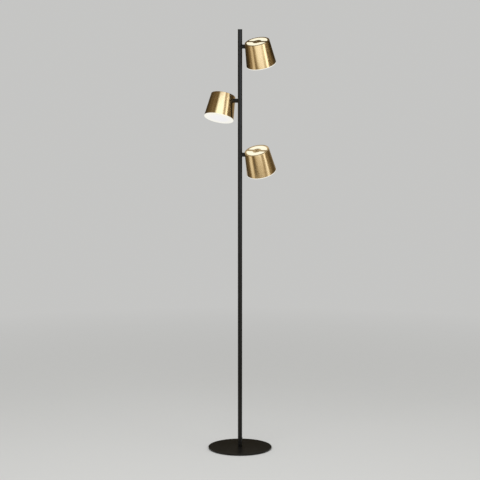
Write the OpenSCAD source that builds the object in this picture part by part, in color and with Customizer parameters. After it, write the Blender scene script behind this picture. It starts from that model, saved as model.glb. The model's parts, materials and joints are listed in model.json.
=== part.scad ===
// Free-standing floor lamp: a slim round pole on a flat round foot plate, with three
// conical spot heads on short arms. Each head shines up and down, and swivels about its arm.
// Millimetres, +Z up. The origin is the centre of the footprint on the floor, and the
// arms lie along X: the top and bottom ones point to +X, the middle one to -X.

/* [Foot] */
// Diameter of the round foot plate
plate_d = 235; // [180:1:320]
// Thickness of the foot plate
plate_t = 5; // [4.5:0.5:12]
// Rounding of the foot plate's rim
plate_edge_r = 0.8; // [0.2:0.1:1.5]
// Thickness of the soft pad under the foot plate
pad_t = 1; // [0.5:0.1:3]
// How far the pad stays inside the plate's rim
pad_inset = 4; // [1:0.5:20]
// Diameter of the opening in the middle of the pad
pad_hole_d = 34; // [20:1:60]
// Shank diameter of the countersunk bolt that holds the pole
bolt_d = 8; // [6:0.5:9]
// Height of that bolt's countersunk head
bolt_head_h = 3.4; // [2.5:0.1:3.8]
// Overall length of that bolt
bolt_len = 18; // [12:1:22]
// Width across the flats of the bolt's hexagon socket
bolt_socket_w = 5; // [3:0.5:5]
// Depth of that socket
bolt_socket_depth = 2.8; // [1.5:0.1:3.5]

/* [Pole] */
// Height of the whole lamp above the floor
lamp_h = 1545; // [1300:5:1800]
// Outer diameter of the pole
pole_d = 16; // [15:0.5:22]
// Wall of the pole's tubes
pole_wall = 1.2; // [0.8:0.1:1.6]
// Thickness of the cap on top of the pole
cap_t = 1.5; // [1:0.1:4]
// Depth of the cap's plug inside the pole
cap_plug_h = 9; // [4:0.5:20]
// Rounding of the cap's top edge
cap_edge_r = 0.6; // [0.2:0.1:0.9]
// Length of the threaded slug in the foot of the pole
foot_insert_h = 18; // [12:1:22]
// Length of each sleeve that joins two tubes
joiner_len = 40; // [24:1:60]
// Wall of each joining sleeve
joiner_wall = 2.1; // [1:0.1:2.2]
// Distance from the lowest arm down to the joint between the tubes
joint_drop = 63; // [45:1:120]

/* [Cable inlet] */
// Height of the cable inlet above the foot plate
inlet_rise = 30; // [28:1:60]
// Diameter of the hole in the pole for the rubber bush
inlet_hole_d = 8; // [7:0.1:9]
// Diameter of the cable that the bush holds
cable_d = 6; // [4:0.1:6.4]
// Diameter of the bush's outer flange
inlet_flange_d = 11; // [9.5:0.1:13]
// How far the bush stands out of the pole
inlet_flange_t = 2; // [1:0.1:4]
// How far the bush's neck reaches into the pole's bore
inlet_neck_in = 1.5; // [0.5:0.1:3]
// Distance from the cable inlet up to the connector
splice_rise = 24; // [12:1:80]
// Length of the connector that splits the supply into three leads
splice_h = 26; // [16:1:40]

/* [Arms] */
// Distance from the top of the lamp down to the upper arm
top_arm_drop = 62; // [56:1:120]
// Distance from one arm down to the next
arm_spacing = 195; // [185:1:240]
// Diameter of the arms and their swivel collars
arm_d = 15; // [14:0.5:18]
// Clear distance from the pole to the shade at the arm
arm_gap = 18.7; // [18:0.1:60]
// Length of the fixed arm, from the pole to the seam
arm_len = 5; // [3:0.5:8]
// Outer diameter of the hollow swivel tube
tube_d = 8; // [7:0.1:8.2]
// Wall of the swivel tube
tube_wall = 1.25; // [1:0.05:1.6]
// Thickness of the friction washer in the seam
friction_washer_t = 0.8; // [0.5:0.1:1.5]
// How far the friction washer stays inside the arm's outline
friction_washer_inset = 0.3; // [0.1:0.1:0.6]
// Thickness of the spring washer inside the head
spring_washer_t = 1; // [0.6:0.1:2]
// Outer diameter of the spring washer
spring_washer_d = 13.5; // [12:0.1:15]
// Width across the flats of the swivel nut
nut_w = 13; // [12:0.5:14]
// Thickness of the swivel nut
nut_t = 3; // [2:0.5:5]
// How far the swivel tube stands past its nut
tube_past_nut = 1; // [0.5:0.5:3]
// Height of the slug inside the pole that the swivel tube is screwed into
anchor_h = 22; // [14:1:30]
// Diameter of the wire passage through that slug
passage_d = 8.2; // [7.6:0.1:9]
// How far a head turns each way from upright before it meets its stop
swivel_limit = 160; // [120:1:163]
// Diameter of the stop pin on the arm's end
stop_pin_d = 1.4; // [1:0.1:1.6]
// Distance of the stop pin from the swivel axis
stop_r = 5.8; // [5.6:0.05:6.1]
// Depth of the stop groove in the collar
stop_groove_depth = 1.6; // [1.2:0.1:3]

/* [Head] */
// How far the upper head is tilted from upright as it is set
upper_tilt = 22; // [0:0.5:60]
// How far the middle head is tilted from upright as it is set
middle_tilt = 22.5; // [0:0.5:60]
// How far the lower head is tilted from upright as it is set
lower_tilt = 24.5; // [0:0.5:60]
// Diameter of the shade's top
shade_top_d = 89.6; // [80:0.1:100]
// Diameter of the shade's lower edge
shade_bottom_d = 108; // [104:0.1:124]
// Height of the metal shade
shade_h = 86.5; // [80:0.5:120]
// Wall of the shade
shade_wall = 1; // [0.6:0.1:1.5]
// Thickness of the shade's flat top
shade_top_t = 1.2; // [0.8:0.1:2]
// Rounding of the shade's top edge
shade_edge_r = 1; // [0.3:0.1:1.2]
// Distance from the shade's top down to the arm's axis
axis_drop = 19.2; // [19:0.1:30]
// Width of the flat rim around the two light windows
rim_w = 6.9; // [2:0.1:8]
// Width of the bar between the two light windows
bar_w = 11; // [6:0.5:16]
// Diameter of the round boss in the middle of the bar
hub_d = 31; // [20:1:36]
// Rounding where the bar meets the rim
window_corner_r = 3; // [1.5:0.1:5]
// Rounding where the bar meets the boss
hub_blend_r = 6; // [2:0.5:8]
// Diameter of the collar's neck inside the shade's side hole
neck_d = 11; // [10:0.1:12.5]

/* [Diffusers] */
// Thickness of the top diffuser under the shade's top
top_diffuser_t = 2; // [1.2:0.1:2.4]
// How far the diffuser's pads stay below the shade's top face
window_recess = 0.3; // [0.1:0.05:0.6]
// Thickness of the bottom diffuser that shows under the shade's edge
lip_t = 2.6; // [1.5:0.1:6]
// Rounding of the bottom diffuser's lower edge
lip_edge_r = 1.3; // [0.4:0.1:1.4]
// Height of the diffuser's ring inside the shade
spigot_h = 6; // [3:0.5:12]
// Wall of that ring
spigot_wall = 1.8; // [1:0.1:3]

/* [Inside the head] */
// Thickness of the carrier's upper plate
carrier_top_t = 2; // [1.5:0.1:3]
// Thickness of the carrier's lower plate
carrier_bottom_t = 3; // [2:0.1:5]
// Clear height of the carrier above the arm's axis
chamber_up = 9; // [8.6:0.1:9.4]
// Clear height of the carrier below the arm's axis
chamber_down = 10; // [9:0.5:16]
// Thickness of the ear that turns on the swivel tube
ear_t = 4; // [3:0.1:6]
// Width of that ear
ear_w = 22; // [18:1:28]
// Diameter of the post under the shade's boss
post_d = 10; // [8:0.5:12]
// Diameter of the two pillars between the carrier's plates
pillar_d = 8; // [5:0.5:10]
// Distance of the pillars from the head's axis
pillar_r = 31; // [27:1:33]
// Wall of the ring that holds up the top diffuser
ring_wall = 2; // [1:0.1:3]
// Thickness of the circuit boards
board_t = 1.2; // [0.8:0.1:2]
// Diameter of the lower circuit board
lower_board_d = 78; // [76:1:84]
// Distance of the lamp chips from the head's axis
chip_ring_r = 24; // [20:0.5:25]
// Number of lamp chips on the lower board
lower_chips = 12; // [6:1:18]
// Number of lamp chips on the upper board
upper_chips = 8; // [4:2:12]
// Wall of the white reflector
reflector_wall = 1.2; // [0.8:0.1:2]
// Inner radius of the reflector's screwed flange
reflector_eye_r = 28.5; // [28:0.1:30]
// Thickness of the reflector's screwed flange
reflector_flange_t = 1; // [0.8:0.1:1.5]
// Outer radius of the reflector's narrow end
reflector_top_r = 38; // [37:0.5:42]
// Diameter of the small screws' shanks
screw_d = 3; // [2:0.1:3.5]
// Length of the small screws' shanks
screw_len = 5; // [4:0.5:6]
// Distance of the small screws from the head's axis
screw_ring_r = 33; // [32:0.1:33.5]
// Shank diameter of the countersunk screw in the shade's boss
hub_screw_d = 4; // [3:0.5:5]
// Length of that screw
hub_screw_len = 9; // [5:0.5:14]
// Width across the flats of that screw's hexagon socket
hub_socket_w = 2.5; // [1.5:0.1:2.6]
// Depth of that socket
hub_socket_depth = 1.4; // [0.8:0.1:2]
// Length of the terminal block
terminal_l = 16; // [10:1:18]
// Width of the terminal block
terminal_w = 10; // [8:1:14]
// How far the terminal block stands above the arm's axis
terminal_rise = 3; // [2:0.1:6]
// Distance from the head's axis to the terminal block's near end
terminal_x = 7; // [6.5:0.5:9]
// Distance from the head's axis sideways to the terminal block's middle
terminal_y = 9; // [8:0.5:11]

/* [Wiring] */
// Diameter of each lead
lead_d = 2.4; // [1.6:0.1:2.5]
// Radius of the leads' sideways bends
lead_bend_r = 8; // [6:0.5:12]
// Gap between leads that run side by side
lead_gap = 0.1; // [0.05:0.05:0.2]
// How far inside the arm's end each lead from the pole stops
lead_end_in = 1; // [0:0.5:4]
// Straight run of each lead past the swivel tube
wire_run_out = 4; // [2:0.5:6]

/* [Fits] */
// Gap on each side of pieces that are pushed or screwed together
fit = 0.05; // [0.02:0.01:0.1]
// Gap around what turns on the swivel tube
running_fit = 0.05; // [0.02:0.01:0.09]
// Play between turning faces
play = 0.1; // [0.05:0.01:0.2]
// Gap around the diffusers' rings and window pads
diffuser_fit = 0.12; // [0.05:0.01:0.3]
// Gap around loose pieces inside housings
loose = 0.5; // [0.3:0.05:0.8]

/* [Hidden] */
$fn = 96;

// Colours
satin_black = [0.05, 0.05, 0.05];
brushed_brass = [0.80, 0.62, 0.34];
opal = [1.00, 0.98, 0.92];
bright_steel = [0.72, 0.73, 0.75];
cast_aluminium = [0.62, 0.63, 0.65];
board_white = [0.93, 0.94, 0.92];
reflector_white = [0.96, 0.96, 0.95];
soft_black = [0.09, 0.09, 0.09];
lead_grey = [0.55, 0.55, 0.56];
terminal_cream = [0.88, 0.86, 0.78];

// Over-cut of every hole, so that its ends are open
cut = 1;
// How far features of one piece reach into each other
weld = 0.5;
// Steps of the arcs in outlines
edge_steps = 5;
fillet_steps = 6;
hub_steps = 12;
rim_steps = 26;

// Foot and pole
plate_top_z = pad_t + plate_t;
pole_r = pole_d / 2;
bore_d = pole_d - 2 * pole_wall;
slug_d = bore_d - 2 * fit;
pole_top_z = lamp_h - cap_t;
inlet_z = plate_top_z + inlet_rise;
splice_z = inlet_z + splice_rise;
splice_top_z = splice_z + splice_h;
arm_z = [for (i = [0:2]) lamp_h - top_arm_drop - i * arm_spacing];
arm_turn = [0, 180, 0];
head_tilt = [upper_tilt, middle_tilt, lower_tilt];
upper_joint_z = arm_z[2] - joint_drop;
lower_joint_z = (plate_top_z + upper_joint_z) / 2;
bolt_sink = 0.3;
bolt_head_d = bolt_d + 2 * bolt_head_h;

// Shade: its radii at a height above or below the arm's axis
shade_slope = (shade_bottom_d - shade_top_d) / 2 / shade_h;
shade_top_z = axis_drop;
shade_bottom_z = axis_drop - shade_h;
function shade_r(z) = shade_top_d / 2 + (shade_top_z - z) * shade_slope;
function shade_in_r(z) = shade_r(z) - shade_wall;
window_r = shade_top_d / 2 - rim_w;
head_offset = pole_r + arm_gap + shade_r(0);

// Carrier and boards, as heights from the arm's axis
carrier_top_z = chamber_up + carrier_top_t;
carrier_bottom_z = -chamber_down - carrier_bottom_t;
diffuser_top_z = shade_top_z - shade_top_t - fit;
diffuser_bottom_z = diffuser_top_z - top_diffuser_t;
up_board_z = carrier_top_z;
down_board_z = carrier_bottom_z - board_t;
carrier_top_r = shade_in_r(diffuser_bottom_z) - loose;
carrier_bottom_r = shade_in_r(-chamber_down) - loose;
up_board_r = carrier_top_r - ring_wall - loose;
chip_size = [3.5, 2.8, 0.8];
// Places of the small screws: three hold the lower board and the reflector, two the upper one
lower_screw_angles = [90, 210, 330];
upper_screw_angles = [60, 240];
pillar_angles = [-45, 45];
screw_head_d = 1.8 * screw_d;
screw_head_h = 0.6 * screw_d;
screw_socket_w = 0.7 * screw_d;
hub_head_d = 2 * hub_screw_d;
hub_head_h = (hub_head_d - hub_screw_d) / 2;

// Swivel, as distances from the pole's axis
arm_end_x = pole_r + arm_len;
collar_x = arm_end_x + friction_washer_t + play;
ear_x = head_offset - (sqrt(pow(carrier_top_r, 2) - pow(ear_w / 2, 2)) - loose);
spring_washer_x = ear_x + ear_t + play;
nut_x = spring_washer_x + spring_washer_t;
tube_end_x = nut_x + nut_t + tube_past_nut;
tube_start_x = passage_d / 2;
tube_bore_d = tube_d - 2 * tube_wall;
// The stop pin's gaps: to the groove's sides, to its floor, and to its ends at the swivel's limits
stop_side_gap = 0.1;
stop_floor_gap = 0.4;
stop_end_gap = 0.1;
stop_pin_reach = friction_washer_t + play + stop_groove_depth - stop_floor_gap;
stop_half_angle = swivel_limit + asin((stop_pin_d / 2 + stop_end_gap) / stop_r);

// Wiring
lead_pitch = lead_d + lead_gap;
lead_sides = 10;
lead_bend_steps = 6;
lead_end_x = arm_end_x - lead_end_in;
wire_start_x = lead_end_x + play - head_offset;
wire_turn_x = tube_end_x - head_offset + wire_run_out;
link_x = terminal_x + terminal_l / 2;

// ---------- shared shapes ----------

// A round bar along Z from z0 to z1
module bar_z(d, z0, z1) {
    translate([0, 0, z0]) cylinder(d = d, h = z1 - z0);
}

// A round bar along X from x0 to x1
module bar_x(d, x0, x1) {
    translate([x0, 0, 0]) rotate([0, 90, 0]) cylinder(d = d, h = x1 - x0);
}

// A hexagonal bar along Z, by its width across the flats
module hexagon(width, h) {
    cylinder(d = width / cos(30), h = h, $fn = 6);
}

// Points of an arc
function arc(centre, r, from, to, steps, first = 0) =
    [for (i = [first:steps])
        let (a = from + (to - from) * i / steps) centre + r * [cos(a), sin(a)]];

// Points of an arc that goes on from the last point of the one before it
function next_arc(centre, r, from, to, steps) = arc(centre, r, from, to, steps, 1);

// Points of a lead's bend: it starts at a point, running along one direction, and turns
// towards the other
function bend_path(start, along, side, r, angle) =
    [for (i = [0:lead_bend_steps])
        let (a = angle * i / lead_bend_steps)
        start + r * (sin(a) * along + (1 - cos(a)) * side)];

// Points of a double bend, which ends along the direction that it starts in, moved sideways
function double_bend_angle(shift) = acos(1 - shift / 2 / lead_bend_r);
function double_bend_h(shift) = 2 * lead_bend_r * sin(double_bend_angle(shift));
function double_bend_path(start, along, side, shift) =
    let (
        angle = double_bend_angle(shift),
        end = start + double_bend_h(shift) * along + shift * side,
        back = bend_path(end, -along, -side, lead_bend_r, angle)
    )
    concat(bend_path(start, along, side, lead_bend_r, angle),
           [for (i = [lead_bend_steps - 1:-1:0]) back[i]]);

// A lead swept along its points. The reference is a direction that it never runs along.
function unit(v) = v / norm(v);
module lead(path, reference) {
    last = len(path) - 1;
    n = lead_sides;
    rings = [for (i = [0:last])
        let (
            before = unit(path[i] - path[max(i - 1, 0)] + (i == 0 ? path[1] - path[0] : [0, 0, 0])),
            after = i == last ? before : unit(path[i + 1] - path[i]),
            run = unit(before + after),
            u = unit(cross(run, reference)),
            v = cross(run, u)
        )
        for (k = [0:n - 1]) path[i] + lead_d / 2 * (cos(k * 360 / n) * u + sin(k * 360 / n) * v)];
    sides = [for (i = [0:last - 1], k = [0:n - 1])
        let (a = i * n + k, b = i * n + (k + 1) % n)
        each [[a, a + n, b], [b, a + n, b + n]]];
    start_cap = [for (k = [1:n - 2]) [0, k, k + 1]];
    end_cap = [for (k = [1:n - 2]) [last * n, last * n + k + 1, last * n + k]];
    polyhedron(points = rings, faces = concat(sides, start_cap, end_cap));
}

// Places an arm's pieces: their X axis runs out along the arm
module at_arm(i) {
    translate([0, 0, arm_z[i]]) rotate([0, 0, arm_turn[i]]) children();
}

// Places a head's pieces: their Z axis is the head's own, and their X axis is the arm's
module at_head(i) {
    at_arm(i) translate([head_offset, 0, 0]) rotate([head_tilt[i], 0, 0]) children();
}

// The solid cone of the shade, grown by a gap and open-ended for cuts
module shade_cone(gap, z0, z1) {
    translate([0, 0, z0]) cylinder(r1 = shade_r(z0) + gap, r2 = shade_r(z1) + gap, h = z1 - z0);
}

// ---------- foot ----------

module foot_pad() {
    color(soft_black) difference() {
        bar_z(plate_d - 2 * pad_inset, 0, pad_t);
        bar_z(pad_hole_d, -cut, pad_t + cut);
    }
}

module foot_plate() {
    edge = plate_edge_r;
    r = plate_d / 2;
    color(satin_black) difference() {
        translate([0, 0, pad_t]) rotate_extrude()
            polygon(concat(
                [[0, 0]],
                arc([r - edge, edge], edge, -90, 0, edge_steps),
                arc([r - edge, plate_t - edge], edge, 0, 90, edge_steps),
                [[0, plate_t]]));
        bar_z(bolt_d + 2 * fit, 0, plate_top_z + cut);
        translate([0, 0, pad_t + bolt_sink])
            cylinder(d1 = bolt_head_d + 2 * fit, d2 = bolt_d + 2 * fit, h = bolt_head_h);
        bar_z(bolt_head_d + 2 * fit, pad_t - cut, pad_t + bolt_sink);
    }
}

module foot_bolt() {
    z0 = pad_t + bolt_sink;
    color(bright_steel) difference() {
        union() {
            translate([0, 0, z0]) cylinder(d1 = bolt_head_d, d2 = bolt_d, h = bolt_head_h);
            bar_z(bolt_d, z0 + bolt_head_h, z0 + bolt_len);
        }
        translate([0, 0, z0 - cut]) hexagon(bolt_socket_w, cut + bolt_socket_depth);
    }
}

module foot_insert() {
    color(bright_steel) difference() {
        bar_z(slug_d, plate_top_z, plate_top_z + foot_insert_h);
        bar_z(bolt_d + 2 * fit, plate_top_z - cut, plate_top_z + foot_insert_h + cut);
    }
}

// ---------- pole ----------

module pole_tube(z0, z1) {
    difference() {
        bar_z(pole_d, z0, z1);
        bar_z(bore_d, z0 - cut, z1 + cut);
    }
}

module pole_lower() {
    color(satin_black) difference() {
        pole_tube(plate_top_z, lower_joint_z);
        translate([0, 0, inlet_z]) rotate([-90, 0, 0]) cylinder(d = inlet_hole_d, h = pole_d);
    }
}

module pole_middle() {
    color(satin_black) pole_tube(lower_joint_z, upper_joint_z);
}

module pole_upper() {
    color(satin_black) difference() {
        pole_tube(upper_joint_z, pole_top_z);
        for (i = [0:2]) at_arm(i) bar_x(tube_d + 2 * fit, 0, pole_d);
    }
}

module joiner(z) {
    color(bright_steel) difference() {
        bar_z(slug_d, z - joiner_len / 2, z + joiner_len / 2);
        bar_z(slug_d - 2 * joiner_wall, z - joiner_len, z + joiner_len);
    }
}

module pole_cap() {
    edge = cap_edge_r;
    color(satin_black) translate([0, 0, pole_top_z]) rotate_extrude()
        polygon(concat(
            [[0, -cap_plug_h], [slug_d / 2, -cap_plug_h], [slug_d / 2, 0], [pole_r, 0]],
            arc([pole_r - edge, cap_t - edge], edge, 0, 90, edge_steps),
            [[0, cap_t]]));
}

// ---------- cable inlet and leads in the pole ----------

module cable_bush() {
    neck_start = bore_d / 2 - inlet_neck_in;
    color(soft_black) translate([0, 0, inlet_z]) difference() {
        union() {
            difference() {
                rotate([-90, 0, 0]) cylinder(d = inlet_flange_d, h = pole_r + inlet_flange_t);
                bar_z(pole_d + 2 * fit, -inlet_flange_d, inlet_flange_d);
            }
            rotate([-90, 0, 0]) translate([0, 0, neck_start])
                cylinder(d = inlet_hole_d - 2 * fit, h = pole_r + inlet_flange_t - neck_start);
        }
        rotate([-90, 0, 0]) cylinder(d = cable_d + 2 * fit, h = pole_d);
    }
}

module splice_connector() {
    color(terminal_cream) bar_z(bore_d - 2 * loose, splice_z, splice_top_z);
}

// The lead from the connector to arm i. It runs up beside the others, moves to the middle of
// the bore once the arm below has been passed, and turns into its own swivel tube.
module pole_lead(i) {
    beside = [1, -1, 0][i];
    up = [0, 0, 1];
    out = [cos(arm_turn[i]), 0, 0];
    turn_r = passage_d / 2;
    turn_z = arm_z[i] - turn_r;
    shift_z = turn_z - 2 * lead_bend_r;
    start = [0, beside * lead_pitch, splice_top_z];
    to_middle = beside == 0 ? [] :
        double_bend_path([0, start[1], shift_z], up, [0, -beside, 0], lead_pitch);
    color(lead_grey) lead(
        concat([start], to_middle, bend_path([0, 0, turn_z], up, out, turn_r, 90),
               [arm_z[i] * up + lead_end_x * out]),
        [0, 1, 0]);
}

// ---------- arms and swivels ----------

module arm(i) {
    color(satin_black) at_arm(i) {
        difference() {
            bar_x(arm_d, 0, arm_end_x);
            bar_z(pole_d + 2 * fit, -arm_d, arm_d);
            bar_x(tube_d + 2 * fit, 0, arm_end_x + cut);
        }
        translate([0, 0, stop_r])
            bar_x(stop_pin_d, arm_end_x - weld, arm_end_x + stop_pin_reach);
    }
}

module arm_anchors() {
    color(bright_steel) for (i = [0:2]) at_arm(i) difference() {
        bar_z(slug_d, -anchor_h / 2, anchor_h / 2);
        bar_z(passage_d, -anchor_h, anchor_h);
        bar_x(tube_d + 2 * fit, 0, pole_d);
    }
}

module swivel_tubes() {
    color(bright_steel) for (i = [0:2]) at_arm(i) difference() {
        bar_x(tube_d, tube_start_x, tube_end_x);
        bar_x(tube_bore_d, 0, tube_end_x + cut);
    }
}

module friction_washers() {
    color(soft_black) for (i = [0:2]) at_arm(i) difference() {
        bar_x(arm_d - 2 * friction_washer_inset, arm_end_x, arm_end_x + friction_washer_t);
        bar_x(tube_d + 2 * fit, 0, arm_end_x + friction_washer_t + cut);
        translate([0, 0, stop_r]) bar_x(stop_pin_d + 2 * fit, 0, collar_x + cut);
    }
}

module spring_washers() {
    color(bright_steel) for (i = [0:2]) at_arm(i) difference() {
        bar_x(spring_washer_d, spring_washer_x, nut_x);
        bar_x(tube_d + 2 * fit, 0, nut_x + cut);
    }
}

module swivel_nuts() {
    color(bright_steel) for (i = [0:2]) at_arm(i) difference() {
        translate([nut_x, 0, 0]) rotate([0, 90, 0]) hexagon(nut_w, nut_t);
        bar_x(tube_d + 2 * fit, 0, tube_end_x + cut);
    }
}

// The turning half of the arm: it follows the shade's cone, its neck goes through the shade's
// side hole to the carrier's ear, and its seam face has the groove that the stop pin runs in.
module swivel_collar(i) {
    x0 = collar_x - head_offset;
    ear_face = ear_x - head_offset;
    color(satin_black) at_head(i) difference() {
        union() {
            difference() {
                bar_x(arm_d, x0, ear_face);
                shade_cone(fit, shade_bottom_z, shade_top_z);
            }
            bar_x(neck_d, x0, ear_face);
        }
        bar_x(tube_d + 2 * running_fit, x0 - cut, ear_face + cut);
        translate([x0 - cut, 0, 0]) rotate([0, 90, 0]) rotate([0, 0, 180 - stop_half_angle])
            rotate_extrude(angle = 2 * stop_half_angle)
                translate([stop_r - stop_pin_d / 2 - stop_side_gap, 0])
                    square([stop_pin_d + 2 * stop_side_gap, cut + stop_groove_depth]);
    }
}

// ---------- head ----------

// Outline of one light window, drawn in by a gap. Its corners are true parallel arcs.
function window_points(gap) =
    let (
        b = bar_w / 2,
        f = window_corner_r,
        g = hub_blend_r,
        h = hub_d / 2,
        corner = [sqrt(pow(window_r - f, 2) - pow(b + f, 2)), b + f],
        blend = [sqrt(pow(h + g, 2) - pow(b + g, 2)), b + g],
        corner_a = atan2(corner[1], corner[0]),
        blend_a = atan2(blend[1], blend[0]),
        mirrored = [[-1, 0], [0, 1]]
    )
    concat(
        arc(corner, f - gap, -90, corner_a, fillet_steps),
        next_arc([0, 0], window_r - gap, corner_a, 180 - corner_a, rim_steps),
        next_arc(corner * mirrored, f - gap, 180 - corner_a, 270, fillet_steps),
        arc(blend * mirrored, g - gap, 270, 360 - blend_a, fillet_steps),
        next_arc([0, 0], h + gap, 180 - blend_a, blend_a, hub_steps),
        next_arc(blend, g - gap, 180 + blend_a, 270, fillet_steps)
    );

module windows(gap, z0, z1) {
    for (a = [0, 180]) rotate([0, 0, a]) translate([0, 0, z0])
        linear_extrude(z1 - z0) polygon(window_points(gap));
}

module shade(i) {
    edge = shade_edge_r;
    lean = atan(shade_slope);
    inner_top = shade_top_z - shade_top_t;
    color(brushed_brass) at_head(i) difference() {
        rotate_extrude()
            polygon(concat(
                [[shade_in_r(shade_bottom_z), shade_bottom_z],
                 [shade_r(shade_bottom_z), shade_bottom_z]],
                arc([shade_r(shade_top_z - edge) - edge / cos(lean), shade_top_z - edge],
                    edge, lean, 90, edge_steps),
                [[0, shade_top_z], [0, inner_top], [shade_in_r(inner_top), inner_top]]));
        windows(0, inner_top - cut, shade_top_z + cut);
        bar_x(neck_d + 2 * fit, -shade_r(0) - arm_d, 0);
        hub_screw_hole();
    }
}

// The countersunk head of the screw in the boss, grown by a gap
module hub_screw_head(gap) {
    translate([0, 0, shade_top_z - hub_head_h])
        cylinder(d1 = hub_screw_d + 2 * gap, d2 = hub_head_d + 2 * gap, h = hub_head_h);
}

module hub_screw_hole() {
    hub_screw_head(fit);
    bar_z(hub_screw_d + 2 * fit, shade_top_z - hub_screw_len - cut, shade_top_z);
    bar_z(hub_head_d + 2 * fit, shade_top_z, shade_top_z + cut);
}

module hub_screw(i) {
    color(brushed_brass) at_head(i) difference() {
        union() {
            hub_screw_head(0);
            bar_z(hub_screw_d, shade_top_z - hub_screw_len, shade_top_z - hub_head_h);
        }
        translate([0, 0, shade_top_z - hub_socket_depth])
            hexagon(hub_socket_w, hub_socket_depth + cut);
    }
}

module top_diffuser(i) {
    color(opal) at_head(i) difference() {
        union() {
            bar_z(2 * (shade_in_r(diffuser_top_z) - loose), diffuser_bottom_z, diffuser_top_z);
            windows(diffuser_fit, diffuser_bottom_z, shade_top_z - window_recess);
        }
        bar_z(post_d + 2 * fit, 0, shade_top_z + cut);
    }
}

module bottom_diffuser(i) {
    r = shade_r(shade_bottom_z);
    spigot_z = shade_bottom_z + spigot_h;
    in_low = shade_in_r(shade_bottom_z) - diffuser_fit;
    in_high = shade_in_r(spigot_z) - diffuser_fit;
    low_z = shade_bottom_z - lip_t;
    color(opal) at_head(i) rotate_extrude()
        polygon(concat(
            [[0, low_z]],
            arc([r - lip_edge_r, low_z + lip_edge_r], lip_edge_r, -90, 0, edge_steps),
            [[r, shade_bottom_z], [in_low, shade_bottom_z], [in_high, spigot_z],
             [in_high - spigot_wall, spigot_z], [in_low - spigot_wall, shade_bottom_z],
             [0, shade_bottom_z]]));
}

// ---------- inside the head ----------

module screw_hole(angle, z0, z1) {
    rotate([0, 0, angle]) translate([screw_ring_r, 0, 0]) bar_z(screw_d + 2 * fit, z0, z1);
}

module wire_hole(z0, z1) {
    translate([link_x, terminal_y, 0]) bar_z(lead_d + 2 * loose, z0, z1);
}

module carrier(i) {
    ear_face = ear_x - head_offset;
    color(cast_aluminium) at_head(i) difference() {
        union() {
            bar_z(2 * carrier_top_r, chamber_up, carrier_top_z);
            difference() {
                bar_z(2 * carrier_top_r, carrier_top_z - weld, diffuser_bottom_z);
                bar_z(2 * (carrier_top_r - ring_wall), 0, shade_top_z);
            }
            bar_z(2 * carrier_bottom_r, carrier_bottom_z, -chamber_down);
            bar_z(post_d, carrier_bottom_z, shade_top_z - shade_top_t);
            translate([ear_face, -ear_w / 2, carrier_bottom_z])
                cube([ear_t, ear_w, carrier_top_z - carrier_bottom_z]);
            for (a = pillar_angles) rotate([0, 0, a]) translate([pillar_r, 0, 0])
                bar_z(pillar_d, carrier_bottom_z, carrier_top_z);
        }
        bar_x(tube_d + 2 * running_fit, -shade_r(0), ear_face + ear_t + cut);
        hub_screw_hole();
        for (a = lower_screw_angles) screw_hole(a, carrier_bottom_z - cut, -chamber_down + cut);
        for (a = upper_screw_angles) screw_hole(a, chamber_up - cut, carrier_top_z + cut);
        wire_hole(chamber_up - cut, carrier_top_z + cut);
        wire_hole(carrier_bottom_z - cut, -chamber_down + cut);
    }
}

module chips(count, z0, z1) {
    for (k = [0:count - 1]) rotate([0, 0, (k + 0.5) * 360 / count])
        translate([chip_ring_r - chip_size[0] / 2, -chip_size[1] / 2, z0])
            cube([chip_size[0], chip_size[1], z1 - z0]);
}

module down_board(i) {
    color(board_white) at_head(i) {
        difference() {
            bar_z(lower_board_d, down_board_z, carrier_bottom_z);
            for (a = lower_screw_angles) screw_hole(a, down_board_z - cut, carrier_bottom_z + cut);
        }
        chips(lower_chips, down_board_z - chip_size[2], down_board_z);
    }
}

module up_board(i) {
    top_z = up_board_z + board_t;
    color(board_white) at_head(i) {
        difference() {
            bar_z(2 * up_board_r, up_board_z, top_z);
            bar_z(post_d + 2 * loose, 0, shade_top_z);
            for (a = upper_screw_angles) screw_hole(a, up_board_z - cut, top_z + cut);
        }
        chips(upper_chips, top_z, top_z + chip_size[2]);
    }
}

module reflector(i) {
    flange_z = down_board_z - reflector_flange_t;
    end_z = shade_bottom_z + spigot_h + loose;
    end_r = shade_in_r(end_z) - loose;
    color(reflector_white) at_head(i) difference() {
        rotate_extrude()
            polygon([
                [reflector_eye_r, down_board_z], [reflector_eye_r, flange_z],
                [reflector_top_r - reflector_wall, flange_z],
                [end_r - reflector_wall, end_z], [end_r, end_z],
                [reflector_top_r, down_board_z]]);
        for (a = lower_screw_angles) screw_hole(a, flange_z - cut, down_board_z + cut);
    }
}

module board_screw() {
    difference() {
        union() {
            bar_z(screw_d, -screw_len, 0);
            bar_z(screw_head_d, 0, screw_head_h);
        }
        translate([0, 0, screw_head_h / 2]) hexagon(screw_socket_w, screw_head_h);
    }
}

module board_screws(i) {
    color(bright_steel) at_head(i) {
        for (a = upper_screw_angles) rotate([0, 0, a])
            translate([screw_ring_r, 0, up_board_z + board_t]) board_screw();
        for (a = lower_screw_angles) rotate([0, 0, a])
            translate([screw_ring_r, 0, down_board_z - reflector_flange_t])
                mirror([0, 0, 1]) board_screw();
    }
}

module terminal_block(i) {
    color(terminal_cream) at_head(i)
        translate([terminal_x, terminal_y - terminal_w / 2, -chamber_down])
            cube([terminal_l, terminal_w, chamber_down + terminal_rise]);
}

// The lead from the swivel tube to the terminal block, and the links to the two boards
module head_wires(i) {
    out = [1, 0, 0];
    side = [0, 1, 0];
    color(lead_grey) at_head(i) {
        lead(
            concat([wire_start_x * out],
                   double_bend_path(wire_turn_x * out, out, side, terminal_y),
                   [terminal_x * out + terminal_y * side]),
            [0, 0, 1]);
        translate([link_x, terminal_y, 0]) {
            bar_z(lead_d, terminal_rise, up_board_z);
            bar_z(lead_d, carrier_bottom_z, -chamber_down);
        }
    }
}

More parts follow.
